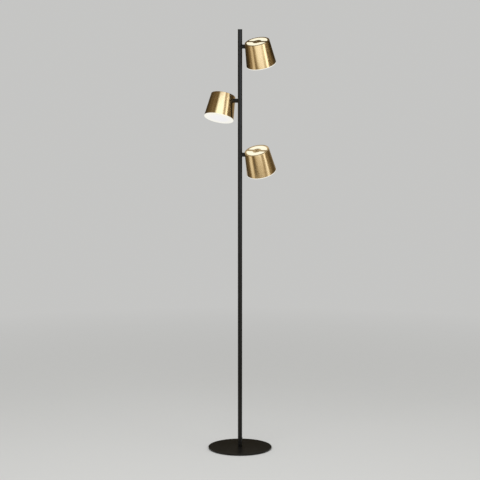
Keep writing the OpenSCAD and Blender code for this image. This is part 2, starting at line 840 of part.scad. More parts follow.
// ---------- what is drawn ----------

foot_pad();
foot_plate();
foot_bolt();
foot_insert();
pole_lower();
pole_middle();
pole_upper();
joiner(lower_joint_z);  // lower_joiner
joiner(upper_joint_z);  // upper_joiner
pole_cap();
cable_bush();
splice_connector();
pole_lead(0);  // pole_lead_upper
pole_lead(1);  // pole_lead_middle
pole_lead(2);  // pole_lead_lower
arm(0);  // arm_upper
arm(1);  // arm_middle
arm(2);  // arm_lower
arm_anchors();
swivel_tubes();
friction_washers();
spring_washers();
swivel_nuts();
shade(0);  // shade_upper
shade(1);  // shade_middle
shade(2);  // shade_lower
swivel_collar(0);  // swivel_collar_upper
swivel_collar(1);  // swivel_collar_middle
swivel_collar(2);  // swivel_collar_lower
carrier(0);  // carrier_upper
carrier(1);  // carrier_middle
carrier(2);  // carrier_lower
down_board(0);  // down_board_upper
down_board(1);  // down_board_middle
down_board(2);  // down_board_lower
up_board(0);  // up_board_upper
up_board(1);  // up_board_middle
up_board(2);  // up_board_lower
reflector(0);  // reflector_upper
reflector(1);  // reflector_middle
reflector(2);  // reflector_lower
top_diffuser(0);  // top_diffuser_upper
top_diffuser(1);  // top_diffuser_middle
top_diffuser(2);  // top_diffuser_lower
bottom_diffuser(0);  // bottom_diffuser_upper
bottom_diffuser(1);  // bottom_diffuser_middle
bottom_diffuser(2);  // bottom_diffuser_lower
terminal_block(0);  // terminal_block_upper
terminal_block(1);  // terminal_block_middle
terminal_block(2);  // terminal_block_lower
head_wires(0);  // head_wires_upper
head_wires(1);  // head_wires_middle
head_wires(2);  // head_wires_lower
board_screws(0);  // board_screws_upper
board_screws(1);  // board_screws_middle
board_screws(2);  // board_screws_lower
hub_screw(0);  // hub_screw_upper
hub_screw(1);  // hub_screw_middle
hub_screw(2);  // hub_screw_lower
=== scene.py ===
import json
import math

import bmesh
import bpy
from mathutils import Matrix, Vector


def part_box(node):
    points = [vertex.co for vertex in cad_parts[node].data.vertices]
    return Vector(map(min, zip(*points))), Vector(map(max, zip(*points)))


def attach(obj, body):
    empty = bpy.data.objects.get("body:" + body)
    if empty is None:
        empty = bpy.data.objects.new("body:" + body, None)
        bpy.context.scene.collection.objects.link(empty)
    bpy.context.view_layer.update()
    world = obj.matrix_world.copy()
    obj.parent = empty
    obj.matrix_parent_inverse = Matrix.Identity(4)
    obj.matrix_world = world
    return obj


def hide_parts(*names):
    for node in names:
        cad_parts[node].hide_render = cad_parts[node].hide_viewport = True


# Looks of the three-spot floor lamp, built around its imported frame. Metres, +Z up.
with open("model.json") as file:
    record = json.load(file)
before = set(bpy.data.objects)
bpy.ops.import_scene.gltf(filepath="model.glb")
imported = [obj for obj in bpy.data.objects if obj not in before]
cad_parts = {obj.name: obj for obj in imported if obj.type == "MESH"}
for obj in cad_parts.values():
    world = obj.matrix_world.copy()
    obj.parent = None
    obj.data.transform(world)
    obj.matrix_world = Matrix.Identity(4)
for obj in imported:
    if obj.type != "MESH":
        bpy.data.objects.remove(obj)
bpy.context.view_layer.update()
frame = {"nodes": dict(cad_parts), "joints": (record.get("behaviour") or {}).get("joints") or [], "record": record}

# ---------- sizes, the same values as in the part's source ----------

MM = 0.001
plate_edge_r = 0.8 * MM
pad_inset = 4 * MM
pad_hole_r = 17 * MM
bolt_r = 4 * MM
bolt_head_h = 3.4 * MM
bolt_sink = 0.3 * MM
pole_r = 8 * MM
pole_wall = 1.2 * MM
cap_t = 1.5 * MM
cap_plug_h = 9 * MM
cap_edge_r = 0.6 * MM
inlet_hole_r = 4 * MM
inlet_flange_r = 5.5 * MM
inlet_flange_t = 2 * MM
inlet_neck_in = 1.5 * MM
cable_r = 3 * MM
arm_r = 7.5 * MM
arm_gap = 18.7 * MM
arm_len = 5 * MM
tube_r = 4 * MM
friction_washer_t = 0.8 * MM
stop_pin_r = 0.7 * MM
stop_r = 5.8 * MM
stop_groove_depth = 1.6 * MM
stop_floor_gap = 0.4 * MM
stop_pin_root = 0.5 * MM
swivel_limit = 160
head_tilt = [22, 22.5, 24.5]
shade_top_r = 44.8 * MM
shade_bottom_r = 54 * MM
shade_h = 86.5 * MM
shade_wall = 1 * MM
shade_top_t = 1.2 * MM
shade_edge_r = 1 * MM
axis_drop = 19.2 * MM
rim_w = 6.9 * MM
bar_w = 11 * MM
hub_r = 15.5 * MM
window_corner_r = 3 * MM
hub_blend_r = 6 * MM
neck_r = 5.5 * MM
top_diffuser_t = 2 * MM
window_recess = 0.3 * MM
lip_t = 2.6 * MM
lip_edge_r = 1.3 * MM
spigot_h = 6 * MM
spigot_wall = 1.8 * MM
post_r = 5 * MM
ear_t = 4 * MM
hub_screw_r = 2 * MM
hub_screw_len = 9 * MM
hub_socket_w = 2.5 * MM
hub_socket_depth = 1.4 * MM
fit = 0.05 * MM
running_fit = 0.05 * MM
play = 0.1 * MM
diffuser_fit = 0.12 * MM
loose = 0.5 * MM

# Small roundings and edge breaks that only the dressed pieces have
edge_break = 0.35 * MM
fine_break = 0.15 * MM
pad_edge_r = 0.3 * MM
inlet_edge_r = 0.5 * MM
window_pad_edge_r = 0.3 * MM
# How far a profile that closes on the axis stays off it
axis_gap = 0.01 * MM

# ---------- values worked out from them and from the frame ----------

HEADS = ["upper", "middle", "lower"]
arm_z = [joint["pos_m"][2] for joint in frame["joints"]]
arm_side = [math.copysign(1, joint["pos_m"][0]) for joint in frame["joints"]]
plate_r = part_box("foot_plate")[1].x
pad_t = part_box("foot_plate")[0].z
plate_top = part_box("foot_plate")[1].z
inlet_z = (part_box("cable_bush")[0].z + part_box("cable_bush")[1].z) / 2
shade_slope = (shade_bottom_r - shade_top_r) / shade_h
shade_top = axis_drop
shade_bottom = axis_drop - shade_h
head_offset = pole_r + arm_gap + shade_top_r + axis_drop * shade_slope
arm_end = pole_r + arm_len
collar_start = arm_end + friction_washer_t + play - head_offset
window_r = shade_top_r - rim_w
bore_r = pole_r - pole_wall
# Where the spring washers of the heads on the +X side begin
washer_start = min(v.co.x for v in frame["nodes"]["spring_washers"].data.vertices if v.co.x > 0)
ear_face = washer_start - play - ear_t - head_offset
stop_half_angle = math.radians(swivel_limit) + math.asin((stop_pin_r + play) / stop_r)


def cone_r(z):
    """Outer radius of the shade at a height above the arm's axis."""
    return shade_top_r + (shade_top - z) * shade_slope


# ---------- mesh helpers ----------

# Segments round the shades and the foot, the tubes, cut holes, screws and stop pins
ROUND = 192
TUBE_ROUND = 96
HOLE_ROUND = 64
SCREW_ROUND = 48
PIN_ROUND = 24
# Steps along rounded edges: coarse, usual and fine ones
COARSE_EDGE = 4
EDGE = 6
FINE_EDGE = 8
# Points closer than this are merged, and edges sharper than this angle stay sharp
MERGE = 1e-7
SHARP = math.radians(32)


def arc(centre, radius, start, stop, steps, first=0):
    """Points of an arc in a plane; angles in degrees."""
    angles = [math.radians(start + (stop - start) * i / steps) for i in range(first, steps + 1)]
    return [(centre[0] + radius * math.cos(a), centre[1] + radius * math.sin(a)) for a in angles]


def ring(bm, points):
    return [bm.verts.new(p) for p in points]


def strip(bm, a, b, smooth=True):
    """Joins two rings of as many points with quads."""
    count = len(a)
    for i in range(count):
        j = (i + 1) % count
        face = bm.faces.new((a[i], a[j], b[j], b[i]))
        face.smooth = smooth


def cap(bm, rings, up):
    """Fills the flat area that the rings bound, holes left open, and turns it up or down."""
    edges = []
    for loop in rings:
        count = len(loop)
        for i in range(count):
            pair = (loop[i], loop[(i + 1) % count])
            edges.append(bm.edges.get(pair) or bm.edges.new(pair))
    made = bmesh.ops.triangle_fill(bm, edges=edges, use_beauty=True, normal=Vector((0, 0, up)))
    for face in made["geom"]:
        if isinstance(face, bmesh.types.BMFace):
            face.smooth = False


def revolved_rings(bm, profile, segments=ROUND):
    """Rings round Z, one for each (radius, height) of the profile, joined in order."""
    turns = [2 * math.pi * i / segments for i in range(segments)]
    rings = [ring(bm, [(r * math.cos(a), r * math.sin(a), z) for a in turns]) for r, z in profile]
    for a, b in zip(rings, rings[1:]):
        strip(bm, a, b)
    return rings


def finish_mesh(name, bm, matrix=Matrix.Identity(4)):
    """A mesh object from bm, with merged doubles, outward normals and sharp corners kept."""
    bmesh.ops.remove_doubles(bm, verts=bm.verts, dist=MERGE)
    bmesh.ops.dissolve_degenerate(bm, edges=bm.edges, dist=MERGE)
    bmesh.ops.recalc_face_normals(bm, faces=bm.faces)
    for edge in bm.edges:
        if len(edge.link_faces) == 2 and edge.calc_face_angle(0) > SHARP:
            edge.smooth = False
    mesh = bpy.data.meshes.new(name)
    bm.to_mesh(mesh)
    bm.free()
    made = bpy.data.objects.new(name, mesh)
    made.matrix_world = matrix
    bpy.context.scene.collection.objects.link(made)
    return made


def solid_of_revolution(name, profile, matrix=Matrix.Identity(4), segments=ROUND):
    """A closed solid from a closed profile that stays off the axis."""
    bm = bmesh.new()
    rings = revolved_rings(bm, profile, segments)
    strip(bm, rings[-1], rings[0])
    return finish_mesh(name, bm, matrix)


def shaped_tube(bm, stations, segments=TUBE_ROUND):
    """A closed tube along X. Each station is (radius, function of y and z that gives x)."""
    rings = []
    for radius, x_of in stations:
        turns = [2 * math.pi * (i + 0.5) / segments for i in range(segments)]
        across = [(radius * math.cos(a), radius * math.sin(a)) for a in turns]
        rings.append(ring(bm, [(x_of(y, z), y, z) for y, z in across]))
    for i, here in enumerate(rings):
        strip(bm, here, rings[(i + 1) % len(rings)])


def at_x(x):
    """A flat face across the tube."""
    return lambda y, z: x


def on_pole(y, z):
    """A face that fits round the pole."""
    return math.sqrt((pole_r + fit) ** 2 - y * y)


def cut_hole(piece, radius, start, along, length):
    """Cuts a round hole through a piece."""
    bm = bmesh.new()
    turn = Vector((0, 0, 1)).rotation_difference(Vector(along)).to_matrix().to_4x4()
    middle = Matrix.Translation(Vector(start) + Vector(along) * length / 2)
    bmesh.ops.create_cone(bm, cap_ends=True, segments=HOLE_ROUND, radius1=radius, radius2=radius,
                          depth=length, matrix=middle @ turn)
    mesh = bpy.data.meshes.new("cutter")
    bm.to_mesh(mesh)
    bm.free()
    cutter = bpy.data.objects.new("cutter", mesh)
    cutter.matrix_world = piece.matrix_world
    bpy.context.scene.collection.objects.link(cutter)
    boolean = piece.modifiers.new("hole", "BOOLEAN")
    boolean.operation = "DIFFERENCE"
    boolean.solver = "EXACT"
    boolean.object = cutter
    bpy.context.view_layer.update()
    cut = bpy.data.meshes.new_from_object(piece.evaluated_get(bpy.context.evaluated_depsgraph_get()))
    piece.modifiers.clear()
    old = piece.data
    piece.data = cut
    bpy.data.meshes.remove(old)
    bpy.data.objects.remove(cutter)
    bpy.data.meshes.remove(mesh)


def dress(piece, body, slot, node):
    """Gives a piece its body and the finish of a slot, and lets it stand for a CAD node."""
    piece.data.materials.clear()
    piece.data.materials.append(FINISHES[slot])
    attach(piece, body)
    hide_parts(node)


# ---------- material helpers ----------


class Shader:
    """A material's node tree, with short calls for the nodes that these finishes use."""

    def __init__(self, name):
        self.material = bpy.data.materials.new(name)
        self.material.use_nodes = True
        self.tree = self.material.node_tree
        self.bsdf = self.tree.nodes["Principled BSDF"]
        self.place = self.node("ShaderNodeTexCoord").outputs["Object"]

    def node(self, kind, **values):
        made = self.tree.nodes.new(kind)
        for key, value in values.items():
            setattr(made, key, value)
        return made

    def link(self, source, target):
        self.tree.links.new(source, target)

    def set(self, **values):
        """Sets shader sockets; a name's underscores are spaces."""
        for key, value in values.items():
            self.bsdf.inputs[key.replace("_", " ")].default_value = value

    def noise(self, scale, detail=2.0, roughness=0.5, vector=None):
        made = self.node("ShaderNodeTexNoise")
        made.inputs["Scale"].default_value = scale
        made.inputs["Detail"].default_value = detail
        made.inputs["Roughness"].default_value = roughness
        self.link(vector or self.place, made.inputs["Vector"])
        return made.outputs["Fac"]

    def math(self, operation, a, b=0.0, c=0.0):
        made = self.node("ShaderNodeMath", operation=operation)
        for socket, value in zip(made.inputs, (a, b, c)):
            if isinstance(value, bpy.types.NodeSocket):
                self.link(value, socket)
            else:
                socket.default_value = value
        return made.outputs[0]

    def spread(self, value, low, high, start=0.3, stop=0.7):
        """Maps a value from start..stop to low..high."""
        made = self.node("ShaderNodeMapRange")
        for key, number in (("From Min", start), ("From Max", stop), ("To Min", low), ("To Max", high)):
            made.inputs[key].default_value = number
        self.link(value, made.inputs["Value"])
        return made.outputs["Result"]

    def colours(self, value, *stops):
        """A colour ramp over a value; each stop is (place, colour)."""
        made = self.node("ShaderNodeValToRGB")
        ramp = made.color_ramp
        while len(ramp.elements) < len(stops):
            ramp.elements.new(0.5)
        for element, (place, colour) in zip(ramp.elements, stops):
            element.position = place
            element.color = (*colour, 1)
        self.link(value, made.inputs["Fac"])
        return made.outputs["Color"]

    def axes(self):
        """The object's own X, Y and Z."""
        made = self.node("ShaderNodeSeparateXYZ")
        self.link(self.place, made.inputs[0])
        return made.outputs

    def from_axis(self, x, y):
        """Distance from the object's Z axis."""
        return self.math("SQRT", self.math("ADD", self.math("MULTIPLY", x, x), self.math("MULTIPLY", y, y)))

    def blend(self, a, b, share):
        """Adds b to a, where b has the given share of the whole."""
        return self.math("ADD", self.math("MULTIPLY", a, 1 - share), self.math("MULTIPLY", b, share))

    def bump(self, height, distance, strength=1.0, after=None):
        made = self.node("ShaderNodeBump")
        made.inputs["Distance"].default_value = distance
        made.inputs["Strength"].default_value = strength
        self.link(height, made.inputs["Height"])
        if after is not None:
            self.link(after, made.inputs["Normal"])
        self.link(made.outputs["Normal"], self.bsdf.inputs["Normal"])
        return made.outputs["Normal"]

    def drive(self, name, value):
        self.link(value, self.bsdf.inputs[name])


def dark(colour, factor):
    return tuple(c * factor for c in colour)


# ---------- finishes ----------
# Noise scales are per metre, and the heights of bumps are in metres.


def black_powder_coat():
    """Satin black powder coat: fine orange peel and faint mottling."""
    base = (0.0055, 0.0052, 0.0047)
    peel_scale, peel_height = 900, 0.00004
    cloud_scale = 24
    shader = Shader("black_powder_coat")
    shader.set(IOR=1.5, Specular_IOR_Level=0.36, Specular_Tint=(1.0, 0.95, 0.86, 1))
    peel = shader.noise(peel_scale, 3.0, 0.55)
    cloud = shader.noise(cloud_scale, 3.0)
    shader.drive("Base Color", shader.colours(cloud, (0.3, dark(base, 0.8)), (0.7, dark(base, 1.3))))
    shader.drive("Roughness", shader.spread(peel, 0.29, 0.39))
    shader.bump(peel, peel_height, 0.4)
    return shader.material


def brushed_brass():
    """Brass brushed round the shade's axis: rings of fine lines, on the cone and on the top."""
    base, light = (0.80, 0.56, 0.27), (0.84, 0.60, 0.30)
    # How fast each layer of lines changes round the axis and across the lines
    layers = ((9, 2600), (14, 900), (5, 240))
    medium_share, broad_share = 0.45, 0.12
    line_height = 0.00001
    shader = Shader("brushed_brass")
    shader.set(Metallic=1.0, Anisotropic=0.92, Anisotropic_Rotation=0.25)
    tangent = shader.node("ShaderNodeTangent", direction_type="RADIAL", axis="Z")
    shader.drive("Tangent", tangent.outputs["Tangent"])
    x, y, z = shader.axes()
    across = shader.math("SUBTRACT", z, shader.from_axis(x, y))
    lines = []
    for around_scale, across_scale in layers:
        join = shader.node("ShaderNodeCombineXYZ")
        stretch = ((x, around_scale), (y, around_scale), (across, across_scale))
        for socket, (axis, scale) in zip(join.inputs, stretch):
            shader.link(shader.math("MULTIPLY", axis, scale), socket)
        lines.append(shader.noise(1.0, 2.0, 0.6, join.outputs[0]))
    fine, medium, broad = lines
    grain = shader.blend(fine, medium, medium_share)
    tone = shader.blend(grain, broad, broad_share)
    shader.drive("Base Color", shader.colours(tone, (0.32, dark(base, 0.9)), (0.5, base), (0.68, light)))
    shader.drive("Roughness", shader.spread(grain, 0.16, 0.25))
    shader.bump(grain, line_height, 0.5)
    return shader.material


def screw_brass():
    """Satin brass of the screw in the boss."""
    base = (0.66, 0.46, 0.21)
    grain_scale = 1800
    shader = Shader("screw_brass")
    shader.set(Metallic=1.0, Roughness=0.3)
    grain = shader.noise(grain_scale, 2.0)
    shader.drive("Base Color", shader.colours(grain, (0.3, dark(base, 0.85)), (0.7, base)))
    shader.drive("Roughness", shader.spread(grain, 0.24, 0.38))
    return shader.material


def opal(name, base, glow, rim_glow, strength, middle_r, rim_r):
    """Opal moulding that is lit from inside: its glow changes softly from the middle to the rim."""
    haze_scale, haze_depth = 60, 0.1
    grain_scale, grain_height = 1500, 0.00002
    shader = Shader(name)
    shader.set(Roughness=0.38, IOR=1.49, Emission_Strength=strength, Subsurface_Weight=0.0)
    x, y, _ = shader.axes()
    haze = shader.noise(haze_scale, 2.0)
    outwards = shader.spread(shader.from_axis(x, y), 0.0, 1 - haze_depth, middle_r, rim_r)
    wavy = shader.math("ADD", outwards, shader.math("MULTIPLY", haze, haze_depth))
    shader.drive("Emission Color", shader.colours(wavy, (0.05, glow), (0.95, rim_glow)))
    shader.drive("Base Color", shader.colours(haze, (0.3, dark(base, 0.97)), (0.7, base)))
    grain = shader.noise(grain_scale, 2.0)
    shader.drive("Roughness", shader.spread(grain, 0.34, 0.44))
    shader.bump(grain, grain_height, 0.3)
    return shader.material


def moulded(name, base, roughness, grain_scale, grain_height, metallic=0.0):
    """Moulded or cast material with an even grain."""
    clouds_per_grain, roughness_play = 1 / 30, 0.06
    shader = Shader(name)
    shader.set(Metallic=metallic, Roughness=roughness)
    grain = shader.noise(grain_scale, 3.0, 0.6)
    cloud = shader.noise(grain_scale * clouds_per_grain, 2.0)
    shader.drive("Base Color", shader.colours(cloud, (0.3, dark(base, 0.9)), (0.7, base)))
    shader.drive("Roughness", shader.spread(grain, roughness - roughness_play, roughness + roughness_play))
    shader.bump(grain, grain_height, 0.6)
    return shader.material


def metal(name, base, roughness, grain_scale, grain_height):
    return moulded(name, base, roughness, grain_scale, grain_height, 1.0)


FINISHES = {
    "black_paint": black_powder_coat(),
    "brushed_brass": brushed_brass(),
    "brass_screw": screw_brass(),
    "opal_top": opal("opal_top", base=(0.26, 0.25, 0.21), glow=(1.0, 0.965, 0.755),
                     rim_glow=(1.0, 0.92, 0.66), strength=0.75, middle_r=10 * MM, rim_r=window_r),
    "opal_bottom": opal("opal_bottom", base=(0.18, 0.178, 0.175), glow=(0.93, 0.92, 0.93),
                        rim_glow=(0.99, 0.97, 0.86), strength=0.82, middle_r=25 * MM, rim_r=shade_bottom_r),
    # Colour, roughness, scale of the grain and its height
    "pad_foam": moulded("pad_foam", (0.035, 0.035, 0.036), 0.9, 1400, 0.00012),
    "black_rubber": moulded("black_rubber", (0.02, 0.02, 0.02), 0.7, 900, 0.00004),
    "black_nylon": moulded("black_nylon", (0.022, 0.022, 0.023), 0.55, 1600, 0.00002),
    "zinc_steel": metal("zinc_steel", (0.62, 0.63, 0.66), 0.32, 1200, 0.00002),
    "cast_aluminium": metal("cast_aluminium", (0.6, 0.61, 0.62), 0.5, 700, 0.00006),
    "board_white": moulded("board_white", (0.84, 0.85, 0.83), 0.42, 1500, 0.00001),
    "reflector_white": moulded("reflector_white", (0.9, 0.9, 0.89), 0.3, 600, 0.00001),
    "cream_plastic": moulded("cream_plastic", (0.75, 0.71, 0.6), 0.5, 1300, 0.00003),
    "lead_jacket": moulded("lead_jacket", (0.28, 0.28, 0.29), 0.6, 900, 0.00002),
}

# ---------- the stand ----------


def foot_plate():
    """The plate, with a rounded rim and the bolt's countersunk hole."""
    edge = plate_edge_r
    hole = bolt_r + fit
    head = bolt_r + bolt_head_h + fit
    low = pad_t
    profile = arc((plate_r - edge, low + edge), edge, -90, 0, EDGE)
    profile += arc((plate_r - edge, plate_top - edge), edge, 0, 90, EDGE)
    profile += [(pole_r, plate_top), (hole, plate_top), (hole, low + bolt_sink + bolt_head_h),
                (head, low + bolt_sink), (head, low), (pad_hole_r, low)]
    made = solid_of_revolution("foot_plate_dressed", profile)
    dress(made, "stand", "black_paint", "foot_plate")


def foot_pad():
    """The foam pad, with soft edges."""
    soft = pad_edge_r
    outer = plate_r - pad_inset
    profile = arc((outer - soft, soft), soft, -90, 0, COARSE_EDGE) + [(outer, pad_t), (pad_hole_r, pad_t)]
    profile += arc((pad_hole_r + soft, soft), soft, 180, 270, COARSE_EDGE)
    made = solid_of_revolution("foot_pad_dressed", profile)
    dress(made, "stand", "pad_foam", "foot_pad")


def pole_tube(name, holes):
    """One tube of the pole with broken edges; holes are (radius, height, direction)."""
    low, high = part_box(name)[0].z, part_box(name)[1].z
    edge = fine_break
    profile = [(bore_r + edge, low), (pole_r - edge, low), (pole_r, low + edge),
               (pole_r, high - edge), (pole_r - edge, high), (bore_r + edge, high),
               (bore_r, high - edge), (bore_r, low + edge)]
    made = solid_of_revolution(name + "_dressed", profile, segments=TUBE_ROUND)
    for radius, height, direction in holes:
        cut_hole(made, radius, (0, 0, height), direction, 2 * pole_r)
    dress(made, "stand", "black_paint", name)


def pole_cap():
    """The cap, with a rounded edge and a plug inside the tube."""
    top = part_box("pole_cap")[1].z
    seat = top - cap_t
    edge = cap_edge_r
    plug = bore_r - fit
    plug_end = seat - cap_plug_h
    profile = [(axis_gap, plug_end), (plug - edge, plug_end), (plug, plug_end + edge), (plug, seat),
               (pole_r - fine_break, seat), (pole_r, seat + fine_break)]
    profile += arc((pole_r - edge, top - edge), edge, 0, 90, EDGE)
    profile += [(axis_gap, top)]
    made = solid_of_revolution("pole_cap_dressed", profile, segments=TUBE_ROUND)
    dress(made, "stand", "black_paint", "pole_cap")


def cable_bush():
    """The rubber bush in the back of the pole: a flange that sits on the tube, and a neck."""
    outside = pole_r + inlet_flange_t
    neck = inlet_hole_r - fit
    edge = inlet_edge_r
    bore = cable_r + fit
    rim_steps, bore_steps = 5, 4
    bm = bmesh.new()
    stations = [(bore, at_x(bore_r - inlet_neck_in)), (neck, at_x(bore_r - inlet_neck_in)),
                (neck, on_pole), (inlet_flange_r, on_pole)]
    stations += [(r, at_x(x)) for x, r in
                 arc((outside - edge, inlet_flange_r - edge), edge, 90, 0, rim_steps)]
    stations += [(r, at_x(x)) for x, r in arc((outside - edge, bore + edge), edge, 0, -90, bore_steps)]
    shaped_tube(bm, stations)
    turn = Matrix.Translation((0, 0, inlet_z)) @ Matrix.Rotation(math.radians(90), 4, "Z")
    made = finish_mesh("cable_bush_dressed", bm, turn)
    dress(made, "stand", "black_rubber", "cable_bush")


def arm_place(i):
    turn = 0 if arm_side[i] > 0 else math.pi
    return Matrix.Translation((0, 0, arm_z[i])) @ Matrix.Rotation(turn, 4, "Z")


def head_place(i):
    tilt = Matrix.Rotation(math.radians(head_tilt[i]), 4, "X")
    return arm_place(i) @ Matrix.Translation((head_offset, 0, 0)) @ tilt


def arm(i):
    """The fixed half of an arm: it fits round the pole, and its end has a broken edge and a pin."""
    edge = edge_break
    bore = tube_r + fit
    pin_end = arm_end + friction_washer_t + play + stop_groove_depth - stop_floor_gap
    pin_root = arm_end - stop_pin_root
    bm = bmesh.new()
    shaped_tube(bm, [(bore, on_pole), (arm_r, on_pole), (arm_r, at_x(arm_end - edge)),
                     (arm_r - edge, at_x(arm_end)), (bore, at_x(arm_end))])
    turns = [2 * math.pi * k / PIN_ROUND for k in range(PIN_ROUND)]
    ends = [ring(bm, [(x, r * math.cos(a), stop_r + r * math.sin(a)) for a in turns])
            for x, r in ((pin_root, stop_pin_r), (pin_end - fine_break, stop_pin_r),
                         (pin_end, stop_pin_r - fine_break))]
    strip(bm, ends[0], ends[1])
    strip(bm, ends[1], ends[2])
    bm.faces.new(ends[0])
    bm.faces.new(ends[2])
    made = finish_mesh(f"arm_{HEADS[i]}_dressed", bm, arm_place(i))
    dress(made, "stand", "black_paint", f"arm_{HEADS[i]}")


# ---------- the heads ----------


def swivel_collar(i):
    """The turning half of an arm: it follows the shade's cone, and has the stop's groove."""
    edge = edge_break
    bore = tube_r + running_fit
    groove_in, groove_out = stop_r - stop_pin_r - play, stop_r + stop_pin_r + play

    def on_cone(y, z):
        return -math.sqrt((cone_r(z) + fit) ** 2 - y * y)

    def groove_floor(y, z):
        inside = abs(math.atan2(y, z)) < stop_half_angle
        return collar_start + (stop_groove_depth if inside else 0)

    bm = bmesh.new()
    shaped_tube(bm, [
        (bore, at_x(collar_start)), (groove_in, at_x(collar_start)), (groove_in, groove_floor),
        (groove_out, groove_floor), (groove_out, at_x(collar_start)),
        (arm_r - edge, at_x(collar_start)), (arm_r, at_x(collar_start + edge)), (arm_r, on_cone),
        (neck_r, on_cone), (neck_r, at_x(ear_face)), (bore, at_x(ear_face))])
    made = finish_mesh(f"swivel_collar_{HEADS[i]}_dressed", bm, head_place(i))
    dress(made, f"head_{HEADS[i]}", "black_paint", f"swivel_collar_{HEADS[i]}")


def window_points(gap):
    """Outline of one light window, drawn in by a gap. Its corners are true parallel arcs."""
    half_bar, corner_r, blend_r = bar_w / 2, window_corner_r, hub_blend_r
    corner_steps, rim_steps, blend_steps, hub_steps = 8, 64, 10, 24
    corner = (math.sqrt((window_r - corner_r) ** 2 - (half_bar + corner_r) ** 2), half_bar + corner_r)
    blend = (math.sqrt((hub_r + blend_r) ** 2 - (half_bar + blend_r) ** 2), half_bar + blend_r)
    corner_a = math.degrees(math.atan2(corner[1], corner[0]))
    blend_a = math.degrees(math.atan2(blend[1], blend[0]))
    points = arc(corner, corner_r - gap, -90, corner_a, corner_steps)
    points += arc((0, 0), window_r - gap, corner_a, 180 - corner_a, rim_steps, 1)
    points += arc((-corner[0], corner[1]), corner_r - gap, 180 - corner_a, 270, corner_steps, 1)
    points += arc((-blend[0], blend[1]), blend_r - gap, 270, 360 - blend_a, blend_steps)
    points += arc((0, 0), hub_r + gap, 180 - blend_a, blend_a, hub_steps, 1)
    points += arc(blend, blend_r - gap, 180 + blend_a, 270, blend_steps, 1)
    return points


def window_ring(bm, side, gap, z):
    """The outline of the window on one side of the bar, at a height."""
    return ring(bm, [(side * x, side * y, z) for x, y in window_points(gap)])


def chain(bm, rings):
    """Joins rings in order."""
    for a, b in zip(rings, rings[1:]):
        strip(bm, a, b)
    return rings


def shade(i):
    """The brass shade: a thin cone with a rolled lower edge and a flat top with two windows."""
    lean = math.degrees(math.atan(shade_slope))
    edge = shade_edge_r
    half_wall = shade_wall / 2
    inner_top = shade_top - shade_top_t
    rolled = arc((shade_bottom_r - half_wall, shade_bottom + half_wall), half_wall,
                 180 + lean, 360 + lean, FINE_EDGE)
    crown = arc((cone_r(shade_top - edge) - edge / math.cos(math.radians(lean)), shade_top - edge),
                edge, lean, 90, FINE_EDGE)
    inner = [(cone_r(inner_top) - shade_wall, inner_top)]
    bm = bmesh.new()
    rings = revolved_rings(bm, inner + rolled + crown)
    head = 2 * hub_screw_r + fit
    shank = hub_screw_r + fit
    screw_seat = revolved_rings(bm, [(head, shade_top), (shank, shade_top - hub_screw_r), (shank, inner_top)],
                                SCREW_ROUND)
    soft = fine_break
    # The window's edge as (gap, height), where -gap is wider
    lip = [(-soft, shade_top), (-0.3 * soft, shade_top - 0.3 * soft), (0, shade_top - soft), (0, inner_top)]
    windows = [chain(bm, [window_ring(bm, side, gap, z) for gap, z in lip]) for side in (1, -1)]
    cap(bm, [rings[-1], screw_seat[0]] + [w[0] for w in windows], 1)
    cap(bm, [rings[0], screw_seat[-1]] + [w[-1] for w in windows], -1)
    made = finish_mesh(f"shade_{HEADS[i]}_dressed", bm, head_place(i))
    cut_hole(made, neck_r + fit, (0, 0, 0), (-1, 0, 0), 2 * shade_bottom_r)
    dress(made, f"head_{HEADS[i]}", "brushed_brass", f"shade_{HEADS[i]}")


def top_diffuser(i):
    """The opal disc under the shade's top, with a pad that fills each window."""
    top = shade_top - shade_top_t - fit
    low = top - top_diffuser_t
    outer = cone_r(top) - shade_wall - loose
    pad_top = shade_top - window_recess
    soft = window_pad_edge_r
    bm = bmesh.new()
    rim = revolved_rings(bm, [(outer, low), (outer, top)])
    hole = revolved_rings(bm, [(post_r + fit, low), (post_r + fit, top)], SCREW_ROUND)
    pads = []
    for side in (1, -1):
        rounding = [window_ring(bm, side, diffuser_fit + soft * (1 - math.cos(math.radians(a))),
                                pad_top - soft * (1 - math.sin(math.radians(a)))) for a in (0, 30, 60, 90)]
        pads.append(chain(bm, [window_ring(bm, side, diffuser_fit, top)] + rounding))
        cap(bm, [pads[-1][-1]], 1)
    cap(bm, [rim[1], hole[1]] + [p[0] for p in pads], 1)
    cap(bm, [rim[0], hole[0]], -1)
    made = finish_mesh(f"top_diffuser_{HEADS[i]}_dressed", bm, head_place(i))
    dress(made, f"head_{HEADS[i]}", "opal_top", f"top_diffuser_{HEADS[i]}")


def bottom_diffuser(i):
    """The opal disc under the shade: a flat face with a rounded edge, and a ring that holds it."""
    low = shade_bottom - lip_t
    spigot = shade_bottom + spigot_h
    in_low = cone_r(shade_bottom) - shade_wall - diffuser_fit
    in_high = cone_r(spigot) - shade_wall - diffuser_fit
    profile = [(axis_gap, low), (shade_bottom_r / 2, low)]
    profile += arc((shade_bottom_r - lip_edge_r, low + lip_edge_r), lip_edge_r, -90, 0, FINE_EDGE)
    profile += [(shade_bottom_r, shade_bottom - fine_break), (shade_bottom_r - fine_break, shade_bottom),
                (in_low, shade_bottom), (in_high, spigot), (in_high - spigot_wall, spigot),
                (in_low - spigot_wall, shade_bottom), (axis_gap, shade_bottom)]
    made = solid_of_revolution(f"bottom_diffuser_{HEADS[i]}_dressed", profile, head_place(i))
    dress(made, f"head_{HEADS[i]}", "opal_bottom", f"bottom_diffuser_{HEADS[i]}")


